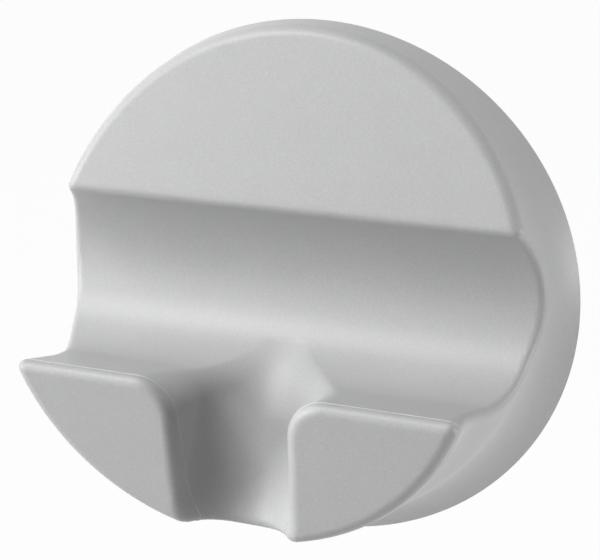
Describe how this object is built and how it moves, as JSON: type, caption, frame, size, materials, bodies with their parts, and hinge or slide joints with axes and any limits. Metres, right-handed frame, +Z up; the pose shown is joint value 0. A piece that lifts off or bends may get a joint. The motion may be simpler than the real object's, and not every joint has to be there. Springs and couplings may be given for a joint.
{
  "type": "magnetic hook",
  "caption": "Round flared wall hook with a leaning upper face, a cross groove and notched prongs, held to steel by a magnet pack behind a rubber grip pad",
  "frame": {"origin": "centre of the grip pad's back face, on the plane of the wall", "axes": "+X to the right of someone who faces the hook, +Y into the wall, +Z up"},
  "size_m": [0.06, 0.0269, 0.06],
  "materials": {
    "body": "satin silver-grey with a fine grain",
    "cover": "fine matt",
    "yoke": "plain zinc",
    "magnet": "nickel plate",
    "screw": "zinc plate",
    "pad": "matt"
  },
  "bodies": {
    "root": {"hook_body": "body", "back_cover": "cover", "yoke_plate": "yoke", "magnet_1": "magnet", "magnet_2": "magnet", "magnet_3": "magnet", "magnet_4": "magnet", "magnet_5": "magnet", "magnet_6": "magnet", "screw_1": "screw", "screw_2": "screw", "screw_3": "screw", "grip_pad": "pad"}
  },
  "joints": []
}
